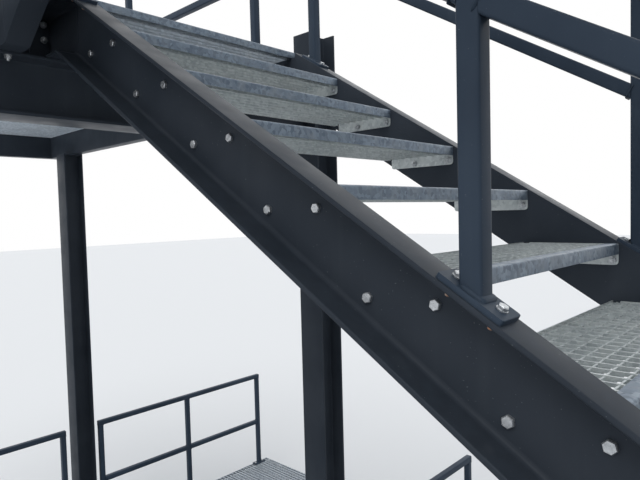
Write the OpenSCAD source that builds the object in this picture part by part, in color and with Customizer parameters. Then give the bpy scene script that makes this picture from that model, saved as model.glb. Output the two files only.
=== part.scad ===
// Open steel fire escape stair tower: straight flights of open grating treads between
// channel stringers, long grating landings, H-section columns and square tube guards.
// X runs along the flights, Y across them, Z is up. Sizes in millimetres.
// The landings are called base, lower, middle and upper, from the ground up.

/* [Flights] */
// Height of one step
riser = 175; // [150:1:200]
// Going of one step, nosing to nosing
going = 280; // [240:1:320]
// Number of risers in one flight
risers = 10; // [6:1:14]
// Clear width between the stringer webs of one flight
flight_w = 1010; // [700:2:1500]
// Clear distance between the webs of neighbouring flights
well_w = 216; // [180:2:600]

/* [Treads] */
// Depth of one tread, front to back
tread_d = 300; // [250:1:340]
// Thickness of a tread and of its nosing
tread_t = 33; // [25:1:45]
// Height of the tread's end plate
end_plate_h = 66; // [50:1:90]
// Thickness of the tread's end plate
end_plate_t = 4; // [3:1:8]
// Depth of the tread's end plate, front to back
end_plate_d = 275; // [200:1:300]
// Gap between a tread's end and the stringer web
tread_gap = 0; // [0:1:5]

/* [Channels] */
// Depth of the stringers, measured square to their slope
stringer_h = 196; // [140:2:250]
// Depth of the beams under a grating and of the stringers' level ends
chan_h = 180; // [140:2:250]
// Flange width of the channels
chan_b = 75; // [50:1:100]
// Web thickness of the channels
chan_web = 6; // [4:1:12]
// Flange thickness of the channels
chan_flange = 11; // [6:1:16]
// Height of the inner stringers' top edge over the line of the nosings, measured upright
inner_lift = 21; // [0:1:60]
// Height of the outer stringers' top edge over the line of the nosings, measured upright
outer_lift = 4; // [0:1:60]
// Depth of the channels in the base frame
base_chan_h = 145; // [100:1:200]
// Number of channels between the ends of the base frame
base_joists = 5; // [2:1:8]
// Distance of a stringer's lower joint from the lower landing's edge, up the flight
low_joint = 5; // [1:1:40]
// Distance of a stringer's upper joint from the upper landing's edge, down the flight
high_joint = 20; // [10:1:60]
// Thickness of the plate across a stringer at a joint
joint_t = 12; // [6:1:20]
// Length of the sole plate under the foot of the first flight's stringers
sole_l = 150; // [100:1:250]
// Thickness of the sole plate
sole_t = 12; // [8:1:25]

/* [Landings] */
// Length of the middle and upper landing, from the step edge
landing_l = 3309; // [1200:1:4000]
// Thickness of the landing grating
grating_t = 30; // [25:1:50]
// Width of the plain band round a grating
grating_band = 70; // [66:1:100]
// Width of the bars between a grating's openings
grating_bar = 36; // [20:1:60]
// Number of openings along a grating's longer side
grating_count = 12; // [4:1:12]
// Height of the base landing over the ground
base_z = 175; // [150:1:400]
// Length of the base landing, from the step edge
base_l = 2838; // [1200:1:4000]
// Far edge of the base landing, from the tower's middle line
base_far_y = 3316; // [1351:1:5000]
// Distance from an outer stringer's web to the side of the landings
side_gap = 218; // [100:1:400]
// Gap between the stringers' level ends and the beam across the landing
joist_gap = 31; // [0:1:200]

/* [Columns] */
// Width and depth of a column
col_b = 152; // [100:1:254]
// Flange thickness of a column
col_flange = 9; // [6:1:20]
// Web thickness of a column
col_web = 7; // [5:1:15]
// Distance of the inner columns from the flights' middle
inner_col_x = 1550; // [1450:1:2000]
// Distance of the outer columns from the flights' middle
outer_col_x = 4260; // [3000:1:4600]
// Gap between the inner columns and the side of the landings
col_gap = 12; // [0:1:60]
// Height of the inner columns over the highest landing that they carry
col_over = 172; // [0:1:1200]
// Thickness of the outer columns' cap plate
cap_t = 12; // [8:1:25]
// Gap round a column and its base plate where they pass the base landing
notch_gap = 5; // [2:1:20]
// Side of the square base plate
base_plate = 260; // [200:1:400]
// Thickness of the base plate
base_plate_t = 20; // [12:1:40]
// Distance between the anchor holes
anchor_pitch = 190; // [120:1:320]
// Diameter of an anchor hole
anchor_d = 22; // [14:1:34]
// Depth of the cross beams
cross_h = 203; // [150:1:305]
// Flange width of the cross beams
cross_b = 152; // [100:1:203]
// Flange thickness of the cross beams
cross_flange = 10; // [6:1:20]
// Web thickness of the cross beams
cross_web = 7; // [5:1:15]

/* [Guards] */
// Side of the square tube of posts and rails
tube = 40; // [25:1:60]
// Height of the stair rail's top over the stringer
stair_rail_h = 927; // [800:1:1100]
// Height of the inner stair rail's mid rail over the stringer
inner_mid_h = 469; // [300:1:600]
// Height of the outer stair rail's mid rail over the stringer
outer_mid_h = 469; // [300:1:600]
// Height of the guards' top over the landing
guard_h = 990; // [900:1:1200]
// Height of the raised landings' mid rail over the landing
guard_mid_h = 532; // [400:1:650]
// Height of the base landing's mid rail over the landing
base_mid_h = 466; // [400:1:650]
// Distance of the lowest stair rail post from the lower landing's edge
stair_post_low = 80; // [70:1:400]
// Distance of the inner rail's middle post from the lower landing's edge
inner_post_mid = 1324; // [800:1:1900]
// Distance of the outer rail's middle post from the lower landing's edge
outer_post_mid = 1354; // [800:1:1900]
// Distance of the highest stair rail post from the lower landing's edge
stair_post_top = 2686; // [2000:1:2730]
// Distance between the posts along the sides of the long landings
guard_pitch = 1367; // [700:1:1600]
// Distance from a post's middle to the edge of the landing that it stands on
post_inset = 33; // [20:1:80]
// Distance from a landing's end to the last post along its side
corner_gap = 98; // [80:1:300]
// Distance from a landing's side to the first post along its end
end_gap = 155; // [120:1:300]
// Distance from the inner column's middle to the first post of the lower landing
first_post = 340; // [200:1:600]
// Distance of the far base guard's posts from the landing's far edge
base_posts = [1907, 1028, 137]; // [137:1:1883]
// Distance of the near base guard's first post from the landing's near edge
near_post = 96; // [75:1:200]
// Distance between the posts of the near base guard
base_pitch = 1170; // [700:1:1400]
// Distance of the right base guard's first post from the inner column's middle
right_post = 256; // [200:1:600]
// Length of the right base guard
right_pitch = 1100; // [700:1:1400]
// Length of a post's foot plate
foot_l = 130; // [100:1:200]
// Width of a post's foot plate
foot_w = 65; // [40:1:80]
// Thickness of a post's foot plate
foot_t = 10; // [6:1:16]

/* [Part] */
// Which piece to show

/* [Hidden] */
charcoal = [0.10, 0.11, 0.13];
zinc = [0.55, 0.58, 0.62];
eps = 0.01;
slope = riser / going;
upright = sqrt(1 + slope * slope);
run = risers * going;
half_run = run / 2;
storey = risers * riser;
level_0 = base_z;
level_1 = level_0 + storey;
level_2 = level_1 + storey;
level_3 = level_2 + storey;
stringer_v = stringer_h * upright;
flange_v = chan_flange * upright;
web_y = well_w / 2;
tread_y0 = web_y + chan_web;
tread_y1 = tread_y0 + flight_w;
outer_web_y = tread_y1 + chan_web;
side_y = outer_web_y + side_gap;
col_y = side_y + col_gap + col_b / 2;
outer_col_y = side_y - col_b / 2;
beam_top = grating_t;
beam_low = grating_t + chan_h;
land_end = half_run + landing_l;
short_end = outer_col_x - col_b / 2;
base_left = -half_run - base_l;
stub_l = inner_col_x + cross_b / 2 - half_run;
near_y = -(col_y + base_plate / 2);
shift_y = -(near_y + base_far_y) / 2;

// Place a piece in the tower: its origin is under the middle of the whole outline
module place() {
    translate([0, shift_y, 0]) children();
}

// Mirror end for end
module other_end() {
    mirror([1, 0, 0]) children();
}

// Column with two flanges across Y, its base plate, and a cap plate where it carries a beam
module column(height, cap = false) {
    difference() {
        translate([-base_plate / 2, -base_plate / 2, 0])
            cube([base_plate, base_plate, base_plate_t]);
        for (i = [-1, 1], j = [-1, 1])
            translate([i * anchor_pitch / 2, j * anchor_pitch / 2, -1])
                cylinder(d = anchor_d, h = base_plate_t + 2, $fn = 32);
    }
    translate([-col_b / 2, -col_b / 2, base_plate_t - eps])
        cube([col_b, col_flange, height - base_plate_t + eps]);
    translate([-col_b / 2, col_b / 2 - col_flange, base_plate_t - eps])
        cube([col_b, col_flange, height - base_plate_t + eps]);
    translate([-col_web / 2, -col_b / 2 + eps, base_plate_t - eps])
        cube([col_web, col_b - 2 * eps, height - base_plate_t + eps]);
    if (cap)
        translate([-col_b / 2, -col_b / 2, height - cap_t])
            cube([col_b, col_b, cap_t]);
}

// Pair of outer columns, near and far
module column_pair(x, height) {
    for (j = [-1, 1])
        translate([x, j * outer_col_y, 0]) column(height, true);
}

// I-section beam across the tower, under a landing, with its top at the given height
module cross_beam(x, top) {
    half = side_y + col_gap;
    translate([x - cross_b / 2, -half, top - cross_flange])
        cube([cross_b, 2 * half, cross_flange]);
    translate([x - cross_b / 2, -half, top - cross_h])
        cube([cross_b, 2 * half, cross_flange]);
    translate([x - cross_web / 2, -half, top - cross_h + eps])
        cube([cross_web, 2 * half, cross_h - 2 * eps]);
}

// Channel along X: its web is at y = 0 to chan_web and the flanges point to +Y
module channel_x(length, depth) {
    cube([length, chan_web, depth]);
    cube([length, chan_b, chan_flange]);
    translate([0, 0, depth - chan_flange]) cube([length, chan_b, chan_flange]);
}

// Channel along Y: its web is at x = 0 to chan_web and the flanges point to +X
module channel_y(length, depth) {
    cube([chan_web, length, depth]);
    cube([chan_b, length, chan_flange]);
    translate([0, 0, depth - chan_flange]) cube([chan_b, length, chan_flange]);
}

// Band round a landing that reaches from the inner columns to x_end, seen from above:
// from one distance inside its edge to another
module edge_band(x_end, outer, inner) {
    x0 = inner_col_x - cross_b / 2;
    difference() {
        translate([x0, outer - side_y])
            square([x_end - outer - x0, 2 * (side_y - outer)]);
        translate([x0 - 1, inner - side_y])
            square([x_end - inner - x0 + 1, 2 * (side_y - inner)]);
    }
}

// Frame of a landing: channels round its edge, level with the grating's top and with their
// flanges turned out, a channel across it and a beam along its middle
module landing_frame(level, x_end) {
    cross_x = half_run + stub_l + joist_gap + chan_b;
    cross_l = 2 * (side_y - chan_b + eps);
    middle_l = x_end - chan_b - cross_x + 2 * eps;
    translate([0, 0, level - beam_low]) {
        linear_extrude(beam_low) edge_band(x_end, chan_b - chan_web, chan_b);
        for (z = [0, beam_low - chan_flange])
            translate([0, 0, z]) linear_extrude(chan_flange) edge_band(x_end, 0, chan_b);
        translate([cross_x, -cross_l / 2, 0])
            mirror([1, 0, 0]) channel_y(cross_l, chan_h);
        translate([cross_x - eps, -chan_web / 2, 0]) cube([middle_l, chan_web, chan_h]);
        for (z = [0, chan_h - chan_flange])
            translate([cross_x - eps, -chan_b / 2, z]) cube([middle_l, chan_b, chan_flange]);
    }
}

// Grid of openings inside the plain band of a grating that starts at 0, 0
module grating_openings(length, width) {
    pitch = (max(length, width) - 2 * grating_band + grating_bar) / grating_count;
    count_x = round((length - 2 * grating_band + grating_bar) / pitch);
    count_y = round((width - 2 * grating_band + grating_bar) / pitch);
    pitch_x = (length - 2 * grating_band + grating_bar) / count_x;
    pitch_y = (width - 2 * grating_band + grating_bar) / count_y;
    for (i = [0 : count_x - 1], j = [0 : count_y - 1])
        translate([grating_band + i * pitch_x, grating_band + j * pitch_y])
            square([pitch_x - grating_bar, pitch_y - grating_bar]);
}

// Grating of a landing, from the step edge to the web at x_end
module landing_grating(level, x_end) {
    length = x_end - chan_b - half_run;
    width = 2 * (side_y - chan_b);
    translate([half_run, -width / 2, level - grating_t])
        linear_extrude(grating_t) difference() {
            square([length, width]);
            grating_openings(length, width);
        }
}

// Outline kept free round the left columns, which stand in or beside the base landing
module column_squares(margin) {
    for (p = [[outer_col_x, outer_col_y], [inner_col_x, col_y]], j = [-1, 1])
        translate([-p[0] - margin, j * p[1] - margin])
            square(2 * margin);
}

// Frame of the base landing, which lies on the ground
module base_landing_frame() {
    x0 = base_left;
    x1 = -half_run;
    len_x = x1 - x0;
    len_y = base_far_y + side_y;
    difference() {
        union() {
            translate([x0, -side_y, 0]) channel_y(len_y, base_chan_h);
            translate([x1, -side_y, 0]) mirror([1, 0, 0]) channel_y(len_y, base_chan_h);
            translate([x0, -side_y, 0]) channel_x(len_x, base_chan_h);
            translate([x0, base_far_y, 0]) mirror([0, 1, 0]) channel_x(len_x, base_chan_h);
            for (k = [1 : base_joists])
                translate([x0, -side_y + k * len_y / (base_joists + 1), 0])
                    channel_x(len_x, base_chan_h);
        }
        translate([0, 0, -1])
            linear_extrude(base_z) column_squares(base_plate / 2 + notch_gap);
    }
}

// Grating of the base landing, with a bar round each column that it leaves room for
module base_landing_grating() {
    width = base_far_y + side_y;
    notch = col_b / 2 + notch_gap;
    translate([0, 0, base_z - grating_t])
        linear_extrude(grating_t) difference() {
            translate([base_left, -side_y]) square([base_l, width]);
            column_squares(notch);
            difference() {
                translate([base_left, -side_y]) grating_openings(base_l, width);
                column_squares(notch + grating_bar);
            }
        }
}

// Height of a stringer's top edge at a distance from the lower landing's edge
function stringer_top(u, lift) = slope * u + lift;

// Side outline of a stringer that rises to +X from the floor edge at 0, 0
function stringer_outline(foot, lift) = concat(
    foot ? [
        [low_joint, -base_z + sole_t],
        [(-base_z + sole_t - lift + stringer_v) / slope, -base_z + sole_t]
    ] : [
        [-stub_l, -beam_low],
        [(-beam_low - lift + stringer_v) / slope, -beam_low]
    ],
    [
        [(storey - beam_low - lift + stringer_v) / slope, storey - beam_low],
        [run + stub_l, storey - beam_low],
        [run + stub_l, storey - beam_top],
        [run - high_joint, storey - beam_top],
        [run - high_joint, stringer_top(run - high_joint, lift)],
        [low_joint, stringer_top(low_joint, lift)]
    ],
    foot ? [] : [[low_joint, -beam_top], [-stub_l, -beam_top]]
);

// Sloping hollow between a stringer's flanges
function stringer_pocket(u0, u1, lift) = [
    [u0, stringer_top(u0, lift) - flange_v],
    [u0, stringer_top(u0, lift) - stringer_v + flange_v],
    [u1, stringer_top(u1, lift) - stringer_v + flange_v],
    [u1, stringer_top(u1, lift) - flange_v]
];

// Stringer channel with short level ends; the web starts at y = 0, the flanges point to -Y
module stringer(foot, lift) {
    low = foot ? 0 : low_joint + joint_t / 2;
    high = run - high_joint - joint_t / 2;
    clear_h = chan_h - 2 * chan_flange;
    difference() {
        translate([0, chan_web, 0]) rotate([90, 0, 0])
            linear_extrude(chan_b) polygon(stringer_outline(foot, lift));
        rotate([90, 0, 0])
            linear_extrude(chan_b + 1) polygon(stringer_pocket(low, high, lift));
        translate([high + joint_t, -chan_b - 1, storey - beam_low + chan_flange])
            cube([stub_l + high_joint, chan_b + 1, clear_h]);
        if (!foot)
            translate([low - joint_t - stub_l, -chan_b - 1, -beam_low + chan_flange])
                cube([stub_l, chan_b + 1, clear_h]);
    }
    if (foot)
        translate([low_joint, chan_web - chan_b, -base_z]) cube([sole_l, chan_b, sole_t]);
}

// The treads of one flight that rises to +X, in the strip on the +Y side
module treads() {
    for (k = [1 : risers - 1])
        translate([k * going, tread_y0 + tread_gap, k * riser]) {
            translate([0, 0, -tread_t])
                cube([tread_d, flight_w - 2 * tread_gap, tread_t]);
            translate([0, 0, -end_plate_h])
                cube([end_plate_d, end_plate_t, end_plate_h]);
            translate([0, flight_w - 2 * tread_gap - end_plate_t, -end_plate_h])
                cube([end_plate_d, end_plate_t, end_plate_h]);
        }
}

// Stair rail on a stringer that rises to +X: posts on sloping foot plates and two rails
module stair_rail(y, mid_u, mid_h, lift) {
    half_v = tube * upright / 2;
    post_top = stair_rail_h - half_v;
    plate_u = foot_l / upright / 2;
    plate_v = foot_t * upright;
    rail_u = [stair_post_low - tube / 2, stair_post_top + tube / 2];
    translate([0, y + tube / 2, 0]) rotate([90, 0, 0]) {
        for (u = [stair_post_low, mid_u, stair_post_top])
            linear_extrude(tube) polygon([
                for (q = [[-1, eps], [1, eps], [1, post_top], [-1, post_top]])
                    [u + q[0] * tube / 2, stringer_top(u + q[0] * tube / 2, lift) + q[1]]
            ]);
        for (h = [mid_h, post_top])
            linear_extrude(tube) polygon([
                for (q = [[0, -1], [1, -1], [1, 1], [0, 1]])
                    [rail_u[q[0]], stringer_top(rail_u[q[0]], lift) + h + q[1] * half_v]
            ]);
    }
    translate([0, y + foot_w / 2, 0]) rotate([90, 0, 0])
        for (u = [stair_post_low, mid_u, stair_post_top])
            linear_extrude(foot_w) polygon([
                for (q = [[-1, 0], [1, 0], [1, 1], [-1, 1]])
                    [u + q[0] * plate_u, stringer_top(u + q[0] * plate_u, lift) + q[1] * plate_v]
            ]);
}

// Level guard along X with posts on foot plates at the given places and two rails
module guard_x(posts, mid_h = guard_mid_h) {
    first = posts[0];
    last = posts[len(posts) - 1];
    for (x = posts)
        translate([x, 0, 0]) {
            translate([-tube / 2, -tube / 2, 0]) cube([tube, tube, guard_h - tube / 2]);
            translate([-foot_l / 2, -foot_w / 2, 0]) cube([foot_l, foot_w, foot_t]);
        }
    for (h = [mid_h - tube / 2, guard_h - tube])
        translate([first - tube / 2, -tube / 2, h])
            cube([last - first + tube, tube, tube]);
}

// Level guard along Y
module guard_y(posts, mid_h = guard_mid_h) {
    rotate([0, 0, 90]) guard_x(posts, mid_h);
}

// Flights 1 and 3 rise to +X on the near side
module near_flight(level) {
    translate([-half_run, 0, level]) mirror([0, 1, 0]) children();
}

// Flight 2 rises to -X on the far side
module far_flight(level) {
    translate([half_run, 0, level]) mirror([1, 0, 0]) children();
}

module inner_stringer(foot) {
    translate([0, web_y, 0]) stringer(foot, inner_lift);
}

module inner_rail() {
    stair_rail(web_y + chan_web - chan_b / 2, inner_post_mid, inner_mid_h, inner_lift);
}

module outer_stringer(foot) {
    translate([0, outer_web_y, 0]) mirror([0, 1, 0]) stringer(foot, outer_lift);
}

module outer_rail() {
    stair_rail(outer_web_y - chan_web + chan_b / 2, outer_post_mid, outer_mid_h, outer_lift);
}

guard_line = side_y - post_inset;
end_half = side_y - end_gap;
end_posts = [-end_half, 0, end_half];
long_last = land_end - corner_gap;
long_posts = [long_last - 2 * guard_pitch, long_last - guard_pitch, long_last];
short_first = inner_col_x + first_post;
short_last = short_end - corner_gap;
short_posts = [short_first, (short_first + short_last) / 2, short_last];

module inner_column_left_near() {
    color(charcoal) place()
        translate([-inner_col_x, -col_y, 0]) column(level_2 + col_over);
}

module inner_column_left_far() {
    color(charcoal) place()
        translate([-inner_col_x, col_y, 0]) column(level_2 + col_over);
}

module inner_column_right_near() {
    color(charcoal) place()
        translate([inner_col_x, -col_y, 0]) column(level_3 + col_over);
}

module inner_column_right_far() {
    color(charcoal) place()
        translate([inner_col_x, col_y, 0]) column(level_3 + col_over);
}

module outer_columns_left() {
    color(charcoal) place() column_pair(-outer_col_x, level_2 - beam_low);
}

module outer_columns_right() {
    color(charcoal) place() column_pair(outer_col_x, level_3 - beam_low);
}

module cross_beam_left() {
    color(charcoal) place() cross_beam(-inner_col_x, level_2 - beam_low);
}

module cross_beam_right_lower() {
    color(charcoal) place() cross_beam(inner_col_x, level_1 - beam_low);
}

module cross_beam_right_upper() {
    color(charcoal) place() cross_beam(inner_col_x, level_3 - beam_low);
}

module base_frame() {
    color(charcoal) place() base_landing_frame();
}

module lower_landing_frame() {
    color(charcoal) place() landing_frame(level_1, short_end);
}

module middle_landing_frame() {
    color(charcoal) place() other_end() landing_frame(level_2, land_end);
}

module upper_landing_frame() {
    color(charcoal) place() landing_frame(level_3, land_end);
}

module base_grating() {
    color(zinc) place() base_landing_grating();
}

module lower_landing_grating() {
    color(zinc) place() landing_grating(level_1, short_end);
}

module middle_landing_grating() {
    color(zinc) place() other_end() landing_grating(level_2, land_end);
}

module upper_landing_grating() {
    color(zinc) place() landing_grating(level_3, land_end);
}

module flight_1_inner_stringer() {
    color(charcoal) place() near_flight(level_0) inner_stringer(true);
}

module flight_1_outer_stringer() {
    color(charcoal) place() near_flight(level_0) outer_stringer(true);
}

module flight_1_treads() {
    color(zinc) place() near_flight(level_0) treads();
}

module flight_2_inner_stringer() {
    color(charcoal) place() far_flight(level_1) inner_stringer(false);
}

module flight_2_outer_stringer() {
    color(charcoal) place() far_flight(level_1) outer_stringer(false);
}

module flight_2_treads() {
    color(zinc) place() far_flight(level_1) treads();
}

module flight_3_inner_stringer() {
    color(charcoal) place() near_flight(level_2) inner_stringer(false);
}

module flight_3_outer_stringer() {
    color(charcoal) place() near_flight(level_2) outer_stringer(false);
}

module flight_3_treads() {
    color(zinc) place() near_flight(level_2) treads();
}

module flight_1_inner_rail() {
    color(charcoal) place() near_flight(level_0) inner_rail();
}

module flight_1_outer_rail() {
    color(charcoal) place() near_flight(level_0) outer_rail();
}

module flight_2_inner_rail() {
    color(charcoal) place() far_flight(level_1) inner_rail();
}

module flight_2_outer_rail() {
    color(charcoal) place() far_flight(level_1) outer_rail();
}

module flight_3_inner_rail() {
    color(charcoal) place() near_flight(level_2) inner_rail();
}

module flight_3_outer_rail() {
    color(charcoal) place() near_flight(level_2) outer_rail();
}

module base_guard_left_near() {
    color(charcoal) place()
        translate([base_left + post_inset, near_post - side_y, level_0])
            guard_y([0, base_pitch, 2 * base_pitch], base_mid_h);
}

module base_guard_left_far() {
    color(charcoal) place()
        translate([base_left + post_inset, base_far_y, level_0])
            guard_y([for (p = base_posts) -p], base_mid_h);
}

module base_guard_right_far() {
    color(charcoal) place()
        translate([-half_run - post_inset, col_y + right_post, level_0])
            guard_y([0, right_pitch], base_mid_h);
}

module lower_guard_near() {
    color(charcoal) place() translate([0, -guard_line, level_1]) guard_x(short_posts);
}

module lower_guard_far() {
    color(charcoal) place() translate([0, guard_line, level_1]) guard_x(short_posts);
}

module lower_guard_end() {
    color(charcoal) place() translate([short_end - post_inset, 0, level_1]) guard_y(end_posts);
}

module middle_guard_near() {
    color(charcoal) place() other_end() translate([0, -guard_line, level_2]) guard_x(long_posts);
}

module middle_guard_far() {
    color(charcoal) place() other_end() translate([0, guard_line, level_2]) guard_x(long_posts);
}

module middle_guard_end() {
    color(charcoal) place() other_end()
        translate([land_end - post_inset, 0, level_2]) guard_y(end_posts);
}

module upper_guard_near() {
    color(charcoal) place() translate([0, -guard_line, level_3]) guard_x(long_posts);
}

module upper_guard_far() {
    color(charcoal) place() translate([0, guard_line, level_3]) guard_x(long_posts);
}

module upper_guard_end() {
    color(charcoal) place() translate([land_end - post_inset, 0, level_3]) guard_y(end_posts);
}

inner_column_left_near();
inner_column_left_far();
inner_column_right_near();
inner_column_right_far();
outer_columns_left();
outer_columns_right();
cross_beam_left();
cross_beam_right_lower();
cross_beam_right_upper();
base_frame();
lower_landing_frame();
middle_landing_frame();
upper_landing_frame();
base_grating();
lower_landing_grating();
middle_landing_grating();
upper_landing_grating();
flight_1_inner_stringer();
flight_1_outer_stringer();
flight_1_treads();
flight_2_inner_stringer();
flight_2_outer_stringer();
flight_2_treads();
flight_3_inner_stringer();
flight_3_outer_stringer();
flight_3_treads();
flight_1_inner_rail();
flight_1_outer_rail();
flight_2_inner_rail();
flight_2_outer_rail();
flight_3_inner_rail();
flight_3_outer_rail();
base_guard_left_near();
base_guard_left_far();
base_guard_right_far();
lower_guard_near();
lower_guard_far();
lower_guard_end();
middle_guard_near();
middle_guard_far();
middle_guard_end();
upper_guard_near();
upper_guard_far();
upper_guard_end();
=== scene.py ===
import math
import random

import bmesh
import bpy
from mathutils import Matrix, Vector

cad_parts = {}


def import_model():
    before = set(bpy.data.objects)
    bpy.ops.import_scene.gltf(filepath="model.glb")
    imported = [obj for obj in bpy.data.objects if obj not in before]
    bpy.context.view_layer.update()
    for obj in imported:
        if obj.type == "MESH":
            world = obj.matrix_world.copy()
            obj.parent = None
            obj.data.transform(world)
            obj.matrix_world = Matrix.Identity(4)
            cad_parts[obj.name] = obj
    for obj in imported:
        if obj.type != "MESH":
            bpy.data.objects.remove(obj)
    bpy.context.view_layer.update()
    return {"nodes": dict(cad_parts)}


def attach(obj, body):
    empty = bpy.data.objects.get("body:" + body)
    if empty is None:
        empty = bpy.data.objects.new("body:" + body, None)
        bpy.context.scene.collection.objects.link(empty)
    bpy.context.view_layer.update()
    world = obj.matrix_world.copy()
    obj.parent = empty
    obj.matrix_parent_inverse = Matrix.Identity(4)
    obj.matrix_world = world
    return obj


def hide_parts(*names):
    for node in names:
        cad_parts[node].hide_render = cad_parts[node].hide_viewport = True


# Fire escape stair tower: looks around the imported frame. Metres. Pieces are built in tower
# coordinates, whose y is measured from the middle line between the flights, and then
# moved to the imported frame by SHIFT_Y.

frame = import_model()

# Flights: steps, clear width, and the gap between the two flights
RISER = 0.175
GOING = 0.280
RISERS = 10
FLIGHT_W = 1.010
WELL_W = 0.216
SLOPE = RISER / GOING
UPRIGHT = math.sqrt(1 + SLOPE * SLOPE)
RUN = RISERS * GOING
HALF_RUN = RUN / 2
STOREY = RISERS * RISER

# Channels: sections, the stringers' lift over the line of the treads' noses, and their joints
# and sole plates. Joints are measured from the flight's ends; a bead's points are (along the
# flight, out of the web), and it starts JOINT_BEAD_RISE over the lower edge.
STRINGER_H = 0.196
CHANNEL_H = 0.180
CHANNEL_B = 0.075
CHANNEL_WEB = 0.006
CHANNEL_FLANGE = 0.011
CHANNEL_ROOT = 0.012
CHANNEL_HEEL = 0.0015
CHANNEL_TOE = 0.004
INNER_LIFT = 0.021
OUTER_LIFT = 0.004
LOW_JOINT = 0.005
HIGH_JOINT = 0.020
JOINT_BEAD = ((-0.004, 0), (-0.002, 0.0012), (0.002, 0.0012), (0.004, 0))
JOINT_BEAD_RISE = 0.014
SOLE_L = 0.150
SOLE_T = 0.012
INNER_BACK = WELL_W / 2 + CHANNEL_WEB
OUTER_BACK = INNER_BACK + FLIGHT_W

# Landings: gratings in panels on frames, and the base landing on the ground. SIDE_GAP is from
# the outer stringers to the landings' sides, JOIST_GAP from their level ends to the cross channel.
GRATING_T = 0.030
BEAM_LOW = GRATING_T + CHANNEL_H
LEVELS = [RISER + k * STOREY for k in range(4)]
SIDE_GAP = 0.218
SIDE_Y = OUTER_BACK + CHANNEL_WEB + SIDE_GAP
LANDING_L = 3.309
LONG_END = HALF_RUN + LANDING_L
JOIST_GAP = 0.031
PANEL = 0.923
SEAM = 0.005
BASE_L = 2.838
BASE_LEFT = -HALF_RUN - BASE_L
BASE_FAR_Y = 3.316

# Columns and cross beams. COL_GAP is between a landing's side and an inner column, COL_OVER how
# far an inner column stands over its landing, NOTCH_GAP the gap round a column in a grating.
H_ROOT = 0.009
H_EDGE = 0.001
COL_B = 0.152
COL_FLANGE = 0.009
COL_WEB = 0.007
COL_GAP = 0.012
INNER_X = 1.550
OUTER_X = 4.260
COL_OVER = 0.172
CAP_T = 0.012
NOTCH_GAP = 0.005
PLATE = 0.260
PLATE_T = 0.020
PLATE_ROUND = 0.004
ANCHOR = 0.020
ANCHOR_REACH = 0.028
ANCHOR_PITCH = 0.190
CROSS_H = 0.203
CROSS_FLANGE = 0.010
CROSS_BOLT = 0.016
CROSS_BOLT_X = 0.045
CROSS_BOLT_Z = 0.055
INNER_Y = SIDE_Y + COL_GAP + COL_B / 2
OUTER_Y = SIDE_Y - COL_B / 2
SHORT_END = OUTER_X - COL_B / 2
STUB_L = INNER_X + COL_B / 2 - HALF_RUN
SHIFT_Y = (INNER_Y + PLATE / 2 - BASE_FAR_Y) / 2

# Guards and stair rails: tube, heights, places of the posts, foot plates and welds. The base
# guards' posts are measured from the near edge, back from the far edge and from a far column.
# IN_FOOT and IN_RAIL are how far posts reach into their foot plates and top rails.
TUBE = 0.040
TUBE_ROUND = 0.006
RAIL_H = 0.927
STAIR_POSTS = {"inner": (0.080, 1.324, 2.686), "outer": (0.080, 1.354, 2.686)}
STAIR_MID_H = 0.469
GUARD_H = 0.990
GUARD_MID_H = 0.532
BASE_MID_H = 0.466
POST_INSET = 0.033
CORNER_GAP = 0.098
END_GAP = 0.155
LONG_PITCH = 1.367
SHORT_FIRST = 0.340
NEAR_POST = 0.096
NEAR_PITCH = 1.170
FAR_POSTS = (1.907, 1.028, 0.137)
RIGHT_POST = 0.256
RIGHT_PITCH = 1.100
GUARD_LINE = SIDE_Y - POST_INSET
FOOT_L = 0.130
FOOT_W = 0.065
FOOT_T = 0.010
FOOT_ROUND = 0.006
FOOT_BOLTS = 0.044
FOOT_BOLT = 0.010
FOOT_CHAMFER = 0.001
FOOT_TOP = 0.985
FOOT_WELD = 0.0045
TUBE_WELD = 0.004
OVERLAP = 0.001
IN_FOOT = 0.7
IN_RAIL = 0.8

# Treads and gratings: nosing plate, end plates, bearing bars and cross rods. A SINK is how far
# bars or rods lie under the top.
TREAD_D = 0.300
TREAD_T = 0.033
NOSING_D = 0.034
NOSING_T = 0.003
NOSING_ROUND = 0.007
END_PLATE_D = 0.275
END_PLATE_H = 0.066
END_PLATE_T = 0.004
END_PLATE_ROUND = 0.012
EDGE_ROUND = 0.002
MESH_BAR = 0.034
MESH_ROD = 0.038
BAR_T = 0.004
ROD_T = 0.006
ROD_H = 0.007
ROD_SINK = 0.0005
BAR_UNDER_NOSING = 0.001
TREAD_FIRST_BAR = 0.008
TREAD_FIRST_ROD = 0.024
TREAD_LAST_ROD = 0.010
TREAD_ROD_IN = 0.010
TREAD_ROD_SINK = 0.002
TREAD_BAR_SINK = 0.0035
TREAD_EDGE_GAP = 0.001

# Bolts of treads and stringers, and their places
TREAD_HEAD = 0.0125
TREAD_BOLT_IN = 0.016
TREAD_BOLT_PITCH = 0.150
TREAD_BOLT_DROP = 0.050
STUB_BOLT = 0.012
STUB_BOLT_IN = 0.016
END_PLATE = 0.008
END_BOLT_V = 0.026
END_BOLT_W = (0.100, 0.154)

# Fasteners: a head's washer, and how far a bolt's end stands out of its nut
WASHER_T = 0.0022
REACH = 0.007
TIP_CHAMFER = 0.0012
# As shares of the thread's diameter
HEX_CORNER = 0.915
HEAD_H = 0.66
NUT_H = 0.82
NUT_WASHER_H = 0.18
TIP_RADIUS = 0.4
# As shares of a washer's, head's or nut's own radius or height
WASHER_FOOT = 0.98
WASHER_STEP = 0.2
HEAD_SHOULDER = 0.78
HEAD_TOP = 0.86
NUT_CHAMFER = 0.12
NUT_END = 0.9
HEX_SIDES = 6
WASHER_SIDES = 20
TIP_SIDES = 12

random.seed(7)


# Materials

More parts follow.
